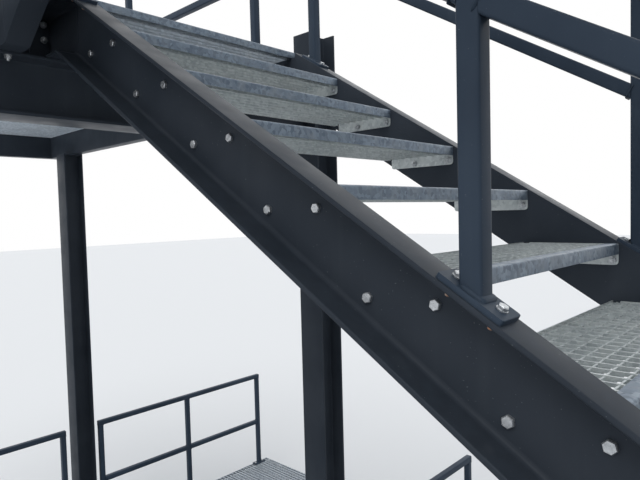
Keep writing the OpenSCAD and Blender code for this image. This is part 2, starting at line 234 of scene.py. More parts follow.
def new_material(name):
    material = bpy.data.materials.new(name)
    material.use_nodes = True
    tree = material.node_tree
    return material, tree.nodes, tree.links, tree.nodes["Principled BSDF"]


def object_noise(nodes, links, cells, detail, stretch=None):
    """Noise in the object's own coordinates, with cells a metre, stretched by a factor for each axis."""
    coordinates = nodes.new("ShaderNodeTexCoord")
    source = coordinates.outputs["Object"]
    if stretch:
        mapping = nodes.new("ShaderNodeMapping")
        mapping.inputs["Scale"].default_value = stretch
        links.new(source, mapping.inputs["Vector"])
        source = mapping.outputs["Vector"]
    noise = nodes.new("ShaderNodeTexNoise")
    noise.inputs["Scale"].default_value = cells
    noise.inputs["Detail"].default_value = detail
    links.new(source, noise.inputs["Vector"])
    return noise.outputs["Fac"]


def ramp(nodes, links, source, stops):
    """Colour ramp: stops are (place, colour)."""
    node = nodes.new("ShaderNodeValToRGB")
    while len(node.color_ramp.elements) < len(stops):
        node.color_ramp.elements.new(0.5)
    for element, (place, colour) in zip(node.color_ramp.elements, stops):
        element.position = place
        element.color = rgba(colour)
    links.new(source, node.inputs["Fac"])
    return node.outputs["Color"]


def grey(value):
    return (value, value, value)


def rgba(colour):
    return (*colour, 1.0)


def mask(nodes, links, cells, detail, start, end, least=0.0, most=1.0, stretch=None):
    """Noise that rises from least, where it is start, to most, where it is end."""
    noise = object_noise(nodes, links, cells, detail, stretch)
    return ramp(nodes, links, noise, [(start, grey(least)), (end, grey(most))])


def mix(nodes, links, factor, first, second, how="MIX"):
    """Mixes two colours; factor, first and second are each a value or another node's output."""
    node = nodes.new("ShaderNodeMix")
    node.data_type = "RGBA"
    node.blend_type = how
    for name, value in (("Factor", factor), ("A", first), ("B", second)):
        socket = node.inputs[name]
        if hasattr(value, "is_output"):
            links.new(value, socket)
        else:
            socket.default_value = value
    return node.outputs["Result"]


def bump(nodes, links, height, strength, distance, before=None):
    """Normal bent by height, over the normal before it."""
    node = nodes.new("ShaderNodeBump")
    node.inputs["Strength"].default_value = strength
    node.inputs["Distance"].default_value = distance
    links.new(height, node.inputs["Height"])
    if before:
        links.new(before, node.inputs["Normal"])
    return node.outputs["Normal"]


def upward(nodes, links):
    """How far a face looks up, from 0 to 1."""
    geometry = nodes.new("ShaderNodeNewGeometry")
    parts = nodes.new("ShaderNodeSeparateXYZ")
    links.new(geometry.outputs["Normal"], parts.inputs["Vector"])
    return parts.outputs["Z"]


# The colour laid on faces that look up is partly dusting and partly a painted blue sky reflection.
PAINT_DUST_AND_SKY_SHEEN = (0.08, 0.11, 0.15)
PAINT_SPECK = (0.20, 0.22, 0.23)
PAINT_RUN = (0.10, 0.115, 0.13)
PAINT_ROUGH = 0.38
PAINT_SPECULAR = 0.07
DUST_ROUGH = 0.75
DUST_AND_SHEEN_MOST = 0.12
DOWN_THE_FACE = (1.0, 1.0, 0.06)


def paint_material(name, dark, light):
    """Semi-gloss stoving paint: orange peel, faint cloud and runs, and a thin bluish dusting on what looks
    up, whose blue tint is a painted sky reflection.
    """
    material, nodes, links, shader = new_material(name)
    cloud = object_noise(nodes, links, cells=3.5, detail=4)
    cloud_mask = ramp(nodes, links, cloud, [(0.35, grey(0)), (0.7, grey(1))])
    base = mix(nodes, links, cloud_mask, rgba(dark), rgba(light))
    specks = mask(nodes, links, cells=260, detail=1, start=0.77, end=0.80, most=0.6)
    base = mix(nodes, links, specks, base, rgba(PAINT_SPECK))
    # Faces that look up take a bluish layer: partly dusting, partly a painted sky reflection.
    looks_up = ramp(nodes, links, upward(nodes, links), [(0.35, grey(0)), (0.95, grey(DUST_AND_SHEEN_MOST))])
    patches = mask(nodes, links, cells=28, detail=5, start=0.4, end=0.75, least=0.05)
    dust_and_sheen = mix(nodes, links, 1.0, looks_up, patches, "MULTIPLY")
    base = mix(nodes, links, dust_and_sheen, base, rgba(PAINT_DUST_AND_SKY_SHEEN))
    runs = mask(nodes, links, cells=18, detail=3, start=0.58, end=0.82, most=0.12, stretch=DOWN_THE_FACE)
    base = mix(nodes, links, runs, base, rgba(PAINT_RUN))
    links.new(base, shader.inputs["Base Color"])
    shine = mask(nodes, links, cells=9, detail=5, start=0.3, end=0.75,
                 least=PAINT_ROUGH - 0.07, most=PAINT_ROUGH + 0.12)
    rougher = mix(nodes, links, dust_and_sheen, shine, rgba(grey(DUST_ROUGH)))
    links.new(rougher, shader.inputs["Roughness"])
    shader.inputs["Specular IOR Level"].default_value = PAINT_SPECULAR
    peel_noise = object_noise(nodes, links, cells=420, detail=2)
    peel = bump(nodes, links, peel_noise, strength=0.12, distance=0.0006)
    uneven = bump(nodes, links, cloud, strength=0.15, distance=0.004, before=peel)
    links.new(uneven, shader.inputs["Normal"])
    return material


STAIN_SHADE = 0.6
BLOOM_ROUGH = 0.68


def zinc_material(name, dark, pale, bloomed, cells, metal):
    """Hot-dip zinc: crystal spangle of mixed tone and shine, chalky bloom, darker stains."""
    material, nodes, links, shader = new_material(name)
    coordinates = nodes.new("ShaderNodeTexCoord")
    crystals = nodes.new("ShaderNodeTexVoronoi")
    crystals.inputs["Scale"].default_value = cells
    links.new(coordinates.outputs["Object"], crystals.inputs["Vector"])
    tone = nodes.new("ShaderNodeSeparateColor")
    links.new(crystals.outputs["Color"], tone.inputs["Color"])
    base = mix(nodes, links, tone.outputs["Red"], rgba(dark), rgba(pale))
    bloom = mask(nodes, links, cells=22, detail=6, start=0.48, end=0.75, most=0.6)
    base = mix(nodes, links, bloom, base, rgba(bloomed))
    stain = mask(nodes, links, cells=7, detail=4, start=0.55, end=0.8, most=0.45)
    base = mix(nodes, links, stain, base, rgba(STAIN_SHADE * part for part in bloomed))
    links.new(base, shader.inputs["Base Color"])
    shader.inputs["Metallic"].default_value = metal
    shine = ramp(nodes, links, tone.outputs["Green"], [(0.0, grey(0.28)), (1.0, grey(0.5))])
    rougher = mix(nodes, links, bloom, shine, rgba(grey(BLOOM_ROUGH)))
    links.new(rougher, shader.inputs["Roughness"])
    ripple_noise = object_noise(nodes, links, cells=140, detail=3)
    ripples = bump(nodes, links, ripple_noise, strength=0.2, distance=0.0008)
    uneven = bump(nodes, links, tone.outputs["Blue"], strength=0.08, distance=0.0006, before=ripples)
    links.new(uneven, shader.inputs["Normal"])
    return material


def fastener_material(name, cells, first, second, metal, smooth, rough):
    """Plated steel in patches of two colours, with patches of shine."""
    material, nodes, links, shader = new_material(name)
    patches = object_noise(nodes, links, cells, detail=3)
    links.new(ramp(nodes, links, patches, [(0.35, first), (0.7, second)]), shader.inputs["Base Color"])
    shader.inputs["Metallic"].default_value = metal
    shine = mask(nodes, links, cells=300, detail=2, start=0.3, end=0.7, least=smooth, most=rough)
    links.new(shine, shader.inputs["Roughness"])
    return material


def bolt_material():
    """Bright zinc plated fasteners, with a fine grain."""
    material = fastener_material(
        "bolt_zinc", cells=160, first=(0.62, 0.64, 0.66), second=(0.44, 0.46, 0.48),
        metal=0.8, smooth=0.25, rough=0.45)
    nodes, links = material.node_tree.nodes, material.node_tree.links
    grain_noise = object_noise(nodes, links, cells=900, detail=2)
    grain = bump(nodes, links, grain_noise, strength=0.1, distance=0.0003)
    links.new(grain, nodes["Principled BSDF"].inputs["Normal"])
    return material


def thread_material():
    """Thread ends, where the plating has turned copper brown."""
    return fastener_material(
        "thread_end", cells=220, first=(0.48, 0.22, 0.11), second=(0.36, 0.33, 0.30),
        metal=0.6, smooth=0.35, rough=0.6)


PAINT = paint_material("charcoal_paint", dark=(0.032, 0.040, 0.052), light=(0.045, 0.054, 0.068))
# The rail paint is a slate grey of its own, made bluer than the charcoal paint as painted blue sky light.
RAIL_PAINT_AND_SKY_LIGHT = paint_material("rail_paint", dark=(0.034, 0.049, 0.072), light=(0.047, 0.066, 0.094))
GRATING_ZINC = zinc_material(
    "zinc_grating", dark=(0.42, 0.47, 0.52), pale=(0.60, 0.65, 0.70), bloomed=(0.64, 0.67, 0.69),
    cells=70, metal=0.25)
TREAD_ZINC = zinc_material(
    "zinc_tread", dark=(0.44, 0.48, 0.49), pale=(0.62, 0.66, 0.66), bloomed=(0.66, 0.69, 0.68),
    cells=95, metal=0.25)
# The nosings' zinc is a darker, bluer copy of the tread zinc, which paints shade onto the nosings.
NOSING_ZINC_PAINTED_SHADE = zinc_material(
    "zinc_nosing_painted_shade", dark=(0.10, 0.135, 0.185), pale=(0.20, 0.255, 0.315), bloomed=(0.28, 0.315, 0.345),
    cells=95, metal=0.45)
BOLT = bolt_material()
THREAD = thread_material()


# Shapes

SMOOTH_ANGLE = math.radians(35)
ROUND_STEPS = 3


class Sketch:
    """Collects the faces of one piece in tower coordinates, each with a material number."""

    def __init__(self):
        self.points = []
        self.faces = []
        self.numbers = []

    def add(self, face, number):
        self.faces.append(face)
        self.numbers.append(number)

    def loft(self, rings, number=0):
        """Closed skin over rings of equally many points."""
        count = len(rings[0])
        start = len(self.points)
        for ring in rings:
            self.points.extend(ring)
        for k in range(len(rings) - 1):
            low = start + k * count
            for i in range(count):
                j = (i + 1) % count
                self.add((low + i, low + j, low + count + j, low + count + i), number)
        self.add(tuple(reversed(range(start, start + count))), number)
        last = start + (len(rings) - 1) * count
        self.add(tuple(range(last, last + count)), number)

    def box(self, low, high):
        corners = [(low[0], low[1]), (high[0], low[1]), (high[0], high[1]), (low[0], high[1])]
        self.loft([[(x, y, z) for x, y in corners] for z in (low[2], high[2])])

    def piece(self, name, materials, slot, node=None):
        """Makes the piece, which stands for node where one is given."""
        mesh = bpy.data.meshes.new(name)
        mesh.from_pydata([(p[0], p[1] + SHIFT_Y, p[2]) for p in self.points], [], self.faces)
        for material in materials:
            mesh.materials.append(material)
        mesh.polygons.foreach_set("material_index", self.numbers)
        tidy = bmesh.new()
        tidy.from_mesh(mesh)
        bmesh.ops.recalc_face_normals(tidy, faces=tidy.faces)
        tidy.to_mesh(mesh)
        tidy.free()
        mesh.shade_smooth()
        mesh.set_sharp_from_angle(angle=SMOOTH_ANGLE)
        thing = bpy.data.objects.new(name, mesh)
        bpy.context.scene.collection.objects.link(thing)
        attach(thing, "root")
        if node:
            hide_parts(node)


def rounded(corners):
    """Closed outline through corners (across, up, radius), rounded where the radius isn't 0."""
    outline = []
    for i, (x, y, radius) in enumerate(corners):
        here = Vector((x, y))
        if not radius:
            outline.append(here)
            continue
        back = (Vector(corners[i - 1][:2]) - here).normalized()
        ahead = (Vector(corners[(i + 1) % len(corners)][:2]) - here).normalized()
        reach = radius / math.tan(back.angle(ahead) / 2)
        first, last = here + back * reach, here + ahead * reach
        for k in range(ROUND_STEPS + 1):
            t = k / ROUND_STEPS
            outline.append(first * (1 - t) ** 2 + here * 2 * t * (1 - t) + last * t ** 2)
    return outline


def rectangle(low, high, radius):
    """Rectangle from corner low to corner high, with rounded corners."""
    (x0, y0), (x1, y1) = low, high
    return rounded([(x0, y0, radius), (x1, y0, radius), (x1, y1, radius), (x0, y1, radius)])


def channel_outline(depth):
    """Rolled channel: across is 0 at the back of the web and grows towards the toes."""
    low, high = CHANNEL_FLANGE, depth - CHANNEL_FLANGE
    return rounded([
        (0, 0, CHANNEL_HEEL), (CHANNEL_B, 0, CHANNEL_HEEL), (CHANNEL_B, low, CHANNEL_TOE),
        (CHANNEL_WEB, low, CHANNEL_ROOT), (CHANNEL_WEB, high, CHANNEL_ROOT),
        (CHANNEL_B, high, CHANNEL_TOE), (CHANNEL_B, depth, CHANNEL_HEEL), (0, depth, CHANNEL_HEEL),
    ])


def h_outline(width, depth, flange, web):
    """Rolled H-section, centred."""
    w, d, t, s = width / 2, depth / 2, depth / 2 - flange, web / 2
    right = [
        (w, -d, H_EDGE), (w, -t, H_EDGE), (s, -t, H_ROOT), (s, t, H_ROOT), (w, t, H_EDGE), (w, d, H_EDGE),
    ]
    left = [(-x, -y, radius) for x, y, radius in right]
    return rounded(right + left)


def square_outline(size, radius):
    half = size / 2
    return rectangle((-half, -half), (half, half), radius)


def nosing_outline(depth):
    """Nosing plate bent over the front edge: across grows backwards, and up is 0 at the top."""
    return rounded([
        (0, -depth, 0), (NOSING_T, -depth, 0), (NOSING_T, -NOSING_T, EDGE_ROUND), (NOSING_D, -NOSING_T, 0),
        (NOSING_D, 0, 0), (0, 0, NOSING_ROUND),
    ])


TUBE_OUTLINE = square_outline(TUBE, TUBE_ROUND)


def bar_between(sketch, outline, start, end, across, up):
    """Extrudes outline from start to end; across and up are the outline's two directions."""
    across, up = Vector(across), Vector(up)
    sketch.loft([[Vector(place) + across * p[0] + up * p[1] for p in outline] for place in (start, end)])


def turned(axis):
    """Rotation that takes +Z to axis."""
    return Vector(axis).to_track_quat("Z", "Y").to_matrix()


def rings_round(sketch, place, axis, sides, steps, number=0, twist=0.0):
    """Turned or hexagonal shape: steps are (radius, height along the axis)."""
    rotation = turned(axis)
    rings = []
    for radius, height in steps:
        ring = []
        for k in range(sides):
            angle = 2 * math.pi * k / sides + twist
            spoke = Vector((radius * math.cos(angle), radius * math.sin(angle), height))
            ring.append(Vector(place) + rotation @ spoke)
        rings.append(ring)
    sketch.loft(rings, number)


def bolt_head(sketch, place, axis, size, washer=WASHER_T):
    """Hexagon head, on a washer of the given thickness if any; size is the thread's diameter."""
    twist = random.uniform(0, math.pi / 3)
    if washer:
        steps = [(size * WASHER_FOOT, 0), (size, washer * WASHER_STEP), (size, washer)]
        rings_round(sketch, place, axis, WASHER_SIDES, steps)
    corner, head = size * HEX_CORNER, size * HEAD_H
    steps = [(corner, washer), (corner, washer + head * HEAD_SHOULDER), (corner * HEAD_TOP, washer + head)]
    rings_round(sketch, place, axis, HEX_SIDES, steps, 0, twist)


def nut_and_tip(sketch, place, axis, size, tip=1, reach=REACH):
    """Washer, nut and the bolt's end standing out of it; tip is the end's material number."""
    washer = size * NUT_WASHER_H
    twist = random.uniform(0, math.pi / 3)
    rings_round(sketch, place, axis, WASHER_SIDES, [(size, 0), (size, washer)])
    corner, height = size * HEX_CORNER, size * NUT_H
    top = washer + height
    steps = [(corner * NUT_END, washer), (corner, washer + height * NUT_CHAMFER),
             (corner, washer + height * (1 - NUT_CHAMFER)), (corner * NUT_END, top)]
    rings_round(sketch, place, axis, HEX_SIDES, steps, 0, twist)
    steps = [(size / 2, top), (size / 2, top + reach - TIP_CHAMFER), (size * TIP_RADIUS, top + reach)]
    rings_round(sketch, place, axis, TIP_SIDES, steps, tip)


# A weld's rings, as shares of its size: reach over the face and height on the tube. The last
# ring closes it, WELD_CLOSE inside the tube.
WELD_STEPS = ((1.0, 0.0), (0.75, 0.55), (0.25, 0.95))
WELD_TOP = 1.1
WELD_CLOSE = 0.0005
WELD_WOBBLE = 0.14


def weld_ring(sketch, outline, place, across, up, out, size):
    """Uneven fillet weld round a tube that stands on a face; out is the face's outward direction."""
    across, up, out = Vector(across), Vector(up), Vector(out)
    steps = [(size * grow, size * lift) for grow, lift in WELD_STEPS]
    steps.append((-WELD_CLOSE, size * WELD_TOP))
    rings = []
    for grow, lift in steps:
        ring = []
        for p in outline:
            wobble = 1 + random.uniform(-WELD_WOBBLE, WELD_WOBBLE)
            away = p.normalized() * grow * wobble
            beside = across * (p[0] + away[0]) + up * (p[1] + away[1])
            ring.append(Vector(place) + beside + out * lift * wobble)
        rings.append(ring)
    sketch.loft(rings)


# Flights

class Flight:
    """One flight: u runs up the flight from the lower landing's edge, v out from the middle line."""

    def __init__(self, number):
        self.number = number
        self.level = LEVELS[number - 1]
        self.far = number == 2
        self.foot = number == 1

    def at(self, u, v, w):
        if self.far:
            return Vector((HALF_RUN - u, v, self.level + w))
        return Vector((u - HALF_RUN, -v, self.level + w))

    def way(self, u, v, w):
        """A direction given along u, v and up."""
        return Vector((-u, v, w)) if self.far else Vector((u, -v, w))

    def name(self, part):
        return "flight_%d_%s" % (self.number, part)


# For each side of a flight: the web's inner face, the flanges' direction, the top edge's lift
SIDES = {"inner": (INNER_BACK, -1, INNER_LIFT), "outer": (OUTER_BACK, 1, OUTER_LIFT)}


def angle_outline(depth):
    """The rolled channel without its lower flange."""
    high = depth - CHANNEL_FLANGE
    return rounded([
        (0, 0, 0), (CHANNEL_WEB, 0, 0), (CHANNEL_WEB, high, CHANNEL_ROOT),
        (CHANNEL_B, high, CHANNEL_TOE), (CHANNEL_B, depth, CHANNEL_HEEL), (0, depth, CHANNEL_HEEL),
    ])


def stringer(flight, side):
    """Channel stringer: a sloping length with short level ends, butted along upright joints."""
    back, out, lift = SIDES[side]
    sketch = Sketch()
    fall = STRINGER_H * UPRIGHT

    def top(u):
        return SLOPE * u + lift

    def reach_of(w):
        """Where the sloping lower edge is at height w."""
        return (w - lift + fall) / SLOPE

    def ring(u, low, high, outline_of=channel_outline):
        """The section at u, stretched to reach from low to high."""
        scale = (high - low) / STRINGER_H
        return [flight.at(u, back + out * p[0], low + p[1] * scale) for p in outline_of(STRINGER_H)]

    def weld(u, low, high):
        """Ground weld bead down the web at a joint."""
        for face in (0.0, CHANNEL_WEB):
            sign = -1 if face == 0 else 1
            rings = []
            for w in (low, high):
                rings.append([flight.at(u + a, back + out * (face + sign * b), w) for a, b in JOINT_BEAD])
            sketch.loft(rings)

    low_joint, high_joint = LOW_JOINT, RUN - HIGH_JOINT
    sole_top = SOLE_T - LEVELS[0]
    slope_start = reach_of(sole_top) if flight.foot else low_joint
    sketch.loft([ring(u, top(u) - fall, top(u)) for u in (slope_start, high_joint)])
    stub_low, stub_high = STOREY - BEAM_LOW, STOREY - GRATING_T
    sketch.loft([
        ring(high_joint, top(high_joint) - fall, stub_high),
        ring(reach_of(stub_low), stub_low, stub_high),
        ring(RUN + STUB_L, stub_low, stub_high),
    ])
    weld(high_joint, top(high_joint) - fall + JOINT_BEAD_RISE, stub_high - CHANNEL_FLANGE)
    if flight.foot:
        sketch.loft([ring(u, sole_top, top(u), angle_outline) for u in (low_joint, slope_start)])
        sole = rectangle((0, 0), (SOLE_L, CHANNEL_B), PLATE_ROUND)
        sketch.loft([[flight.at(low_joint + p[0], back + out * p[1], w) for p in sole]
                     for w in (-LEVELS[0], sole_top)])
    else:
        sketch.loft([
            ring(-STUB_L, -BEAM_LOW, -GRATING_T),
            ring(reach_of(-BEAM_LOW), -BEAM_LOW, -GRATING_T),
            ring(low_joint, top(low_joint) - fall, -GRATING_T),
        ])
        weld(low_joint, top(low_joint) - fall + JOINT_BEAD_RISE, -GRATING_T - CHANNEL_FLANGE)
    node = flight.name(side + "_stringer")
    sketch.piece(node + "_channel", [PAINT], "charcoal_paint", node)


def stub_fixings(flight):
    """Bolts through each level end and the cross beam's flange, and a bolted end plate."""
    plates, bolts = Sketch(), Sketch()
    plate = ((CHANNEL_WEB, CHANNEL_FLANGE), (CHANNEL_B, CHANNEL_FLANGE),
             (CHANNEL_B, CHANNEL_H - CHANNEL_FLANGE), (CHANNEL_WEB, CHANNEL_H - CHANNEL_FLANGE))
    places = (STUB_BOLT_IN,) if flight.far else (STUB_BOLT_IN, COL_B - STUB_BOLT_IN)
    for back, out, _ in SIDES.values():
        for low, end, inward in ((-BEAM_LOW, -STUB_L, 1), (STOREY - BEAM_LOW, RUN + STUB_L, -1)):
            if flight.foot and inward > 0:
                continue
            v = back + out * CHANNEL_B / 2
            for along in places:
                spot = end + inward * along
                bolt_head(bolts, flight.at(spot, v, low + CHANNEL_FLANGE), (0, 0, 1), STUB_BOLT)
                nut_and_tip(bolts, flight.at(spot, v, low - CROSS_FLANGE), (0, 0, -1), STUB_BOLT)
            inside = end + inward * END_PLATE
            plates.loft([[flight.at(u, back + out * a, low + b) for a, b in plate] for u in (end, inside)])
            axis = flight.way(inward, 0, 0)
            v = back + out * END_BOLT_V
            for w in END_BOLT_W:
                nut_and_tip(bolts, flight.at(inside, v, low + w), axis, STUB_BOLT)
                bolt_head(bolts, flight.at(end, v, low + w), -axis, STUB_BOLT)
    plates.piece(flight.name("stringer_end_plates"), [PAINT], "charcoal_paint")
    bolts.piece(flight.name("stringer_bolts"), [BOLT, BOLT], "charcoal_paint")


def tread(sketch, flight, k):
    """Open grating tread: bearing bars from side to side, cross rods, nosing, back bar and end plates."""
    u0 = k * GOING
    top = k * RISER
    v0, v1 = INNER_BACK, OUTER_BACK

    def block(u, v, w):
        ends = flight.at(u[0], v[0], w[0]), flight.at(u[1], v[1], w[1])
        sketch.box([min(pair) for pair in zip(*ends)], [max(pair) for pair in zip(*ends)])

    nosing = nosing_outline(TREAD_T)
    sketch.loft([[flight.at(u0 + p[0], v, top + p[1]) for p in nosing] for v in (v0, v1)], 1)
    back = u0 + TREAD_D - BAR_T
    u = u0 + TREAD_FIRST_BAR
    while u < back:
        block((u, u + BAR_T), (v0 + END_PLATE_T, v1 - END_PLATE_T), (top - GRATING_T, top - TREAD_BAR_SINK))
        u += MESH_BAR
    block((back, u0 + TREAD_D), (v0, v1), (top - GRATING_T, top - TREAD_EDGE_GAP))
    rod_top = top - TREAD_ROD_SINK
    v = v0 + TREAD_FIRST_ROD
    while v < v1 - TREAD_LAST_ROD:
        block((u0 + TREAD_ROD_IN, back), (v, v + ROD_T), (rod_top - ROD_H, rod_top))
        v += MESH_ROD
    plate = rounded([
        (0, -END_PLATE_H, END_PLATE_ROUND), (END_PLATE_D, -END_PLATE_H, END_PLATE_ROUND),
        (END_PLATE_D, -TREAD_EDGE_GAP, EDGE_ROUND), (TREAD_EDGE_GAP, -TREAD_EDGE_GAP, EDGE_ROUND),
    ])
    for a, b in ((v0, v0 + END_PLATE_T), (v1 - END_PLATE_T, v1)):
        sketch.loft([[flight.at(u0 + p[0], v, top + p[1]) for p in plate] for v in (a, b)])


def treads(flight):
    """The nine treads of a flight, as one piece."""
    sketch = Sketch()
    for k in range(1, RISERS):
        tread(sketch, flight, k)
    sketch.piece(flight.name("grating_treads"), [TREAD_ZINC, NOSING_ZINC_PAINTED_SHADE], "zinc_tread",
                 flight.name("treads"))


def tread_bolts(flight):
    """Two bolts an end: heads on the stringers' webs, nuts inside the end plates."""
    sketch = Sketch()
    for k in range(1, RISERS):
        for along in (TREAD_BOLT_IN, TREAD_BOLT_IN + TREAD_BOLT_PITCH):
            u, w = k * GOING + along, k * RISER - TREAD_BOLT_DROP
            for back, out, _ in SIDES.values():
                axis = flight.way(0, out, 0)
                bolt_head(sketch, flight.at(u, back + out * CHANNEL_WEB, w), axis, TREAD_HEAD, washer=0)
                nut_and_tip(sketch, flight.at(u, back - out * END_PLATE_T, w), -axis, STUB_BOLT)
    sketch.piece(flight.name("tread_bolts"), [BOLT, BOLT], "zinc_tread")


# Posts and rails

def foot(sketch, bolts, place, along, across, up, under):
    """Foot plate with rounded corners, weld and two bolts that go through the steel under it."""
    along, across, up = Vector(along), Vector(across), Vector(up)
    place = Vector(place)
    plate = rectangle((-FOOT_L / 2, -FOOT_W / 2), (FOOT_L / 2, FOOT_W / 2), FOOT_ROUND)
    rings = []
    for size, height in ((1, 0), (1, FOOT_T - FOOT_CHAMFER), (FOOT_TOP, FOOT_T)):
        rings.append([place + along * p[0] * size + across * p[1] * size + up * height for p in plate])
    sketch.loft(rings)
    seam = square_outline(TUBE + 2 * OVERLAP, TUBE_ROUND + OVERLAP)
    weld_ring(sketch, seam, place + up * FOOT_T, along, across, up, FOOT_WELD)
    for side in (-1, 1):
        spot = place + along * side * FOOT_BOLTS
        bolt_head(bolts, spot + up * FOOT_T, up, FOOT_BOLT)
        nut_and_tip(bolts, spot - up * under, -up, FOOT_BOLT)


def stair_rail(flight, side):
    """Posts on sloping foot plates, a mid rail between them and a top rail over them."""
    back, out, lift = SIDES[side]
    v = back + out * CHANNEL_B / 2
    sketch, bolts = Sketch(), Sketch()
    posts = STAIR_POSTS[side]

    def stringer_top(u):
        return SLOPE * u + lift

    along = flight.way(1, 0, SLOPE).normalized()
    across = flight.way(0, 1, 0)
    up = flight.way(-SLOPE, 0, 1).normalized()
    level = flight.way(1, 0, 0)
    half_v = TUBE * UPRIGHT / 2
    top_h = RAIL_H - half_v
    for u in posts:
        foot(sketch, bolts, flight.at(u, v, stringer_top(u)), along, across, up, CHANNEL_FLANGE)
        ends = []
        for rise in (FOOT_T * UPRIGHT * IN_FOOT, top_h - half_v * IN_RAIL):
            ends.append([flight.at(u + p[0], v + p[1], stringer_top(u + p[0]) + rise) for p in TUBE_OUTLINE])
        sketch.loft(ends)
    low, high = posts[0] - TUBE / 2, posts[-1] + TUBE / 2
    spans = [(low, high, top_h)]
    for a, b in zip(posts, posts[1:]):
        spans.append((a + TUBE / 2 - OVERLAP, b - TUBE / 2 + OVERLAP, STAIR_MID_H))
    for a, b, h in spans:
        rings = []
        for u in (a, b):
            middle = stringer_top(u) + h
            rings.append([flight.at(u, v + p[0], middle + p[1] * UPRIGHT) for p in TUBE_OUTLINE])
        sketch.loft(rings)
        if h != top_h:
            for u, sign in ((a, 1), (b, -1)):
                place = flight.at(u + sign * OVERLAP, v, stringer_top(u) + h)
                weld_ring(sketch, TUBE_OUTLINE, place, across, up, level * sign, TUBE_WELD)
    for u in posts:
        place = flight.at(u, v, stringer_top(u) + top_h - half_v)
        weld_ring(sketch, TUBE_OUTLINE, place, level, across, (0, 0, -1), TUBE_WELD)
    node = flight.name(side + "_rail")
    sketch.piece(node + "_tube", [RAIL_PAINT_AND_SKY_LIGHT], "rail_paint", node)
    bolts.piece(node + "_bolts", [BOLT, THREAD], "rail_paint")


def guard(node, posts, line, level, along_x=True, mirror=False, mid_h=GUARD_MID_H, under=CHANNEL_FLANGE):
    """Level guard: posts on foot plates, mid rails between them and a top rail."""
    sketch, bolts = Sketch(), Sketch()
    flip = -1 if mirror else 1

    def at(along, across, up):
        if along_x:
            return Vector((flip * along, line + across, level + up))
        return Vector((line - across, along, level + up))

    along = Vector((flip, 0, 0)) if along_x else Vector((0, 1, 0))
    across = Vector((0, 1, 0)) if along_x else Vector((-1, 0, 0))
    up = Vector((0, 0, 1))
    rail_h = GUARD_H - TUBE / 2
    for p in posts:
        foot(sketch, bolts, at(p, 0, 0), along, across, up, under)
        low, high = at(p, 0, FOOT_T * IN_FOOT), at(p, 0, rail_h - TUBE / 2 * IN_RAIL)
        bar_between(sketch, TUBE_OUTLINE, low, high, along, across)
        weld_ring(sketch, TUBE_OUTLINE, at(p, 0, GUARD_H - TUBE), along, across, -up, TUBE_WELD)
    first, last = at(posts[0] - TUBE / 2, 0, rail_h), at(posts[-1] + TUBE / 2, 0, rail_h)
    bar_between(sketch, TUBE_OUTLINE, first, last, across, up)
    for a, b in zip(posts, posts[1:]):
        ends = (a + TUBE / 2 - OVERLAP, b - TUBE / 2 + OVERLAP)
        bar_between(sketch, TUBE_OUTLINE, at(ends[0], 0, mid_h), at(ends[1], 0, mid_h), across, up)
        for end, sign in zip(ends, (1, -1)):
            weld_ring(sketch, TUBE_OUTLINE, at(end, 0, mid_h), across, up, along * sign, TUBE_WELD)
    sketch.piece(node + "_tube", [RAIL_PAINT_AND_SKY_LIGHT], "rail_paint", node)
    bolts.piece(node + "_bolts", [BOLT, THREAD], "rail_paint")


# Gratings

def spans_clear(start, end, cuts):
    """Parts of start to end that the (low, high) cuts leave."""
    parts = [(start, end)]
    for low, high in cuts:
        left = []
        for a, b in parts:
            if high <= a or low >= b:
                left.append((a, b))
                continue
            if low > a:
                left.append((a, low))
            if high < b:
                left.append((high, b))
        parts = left
    return parts


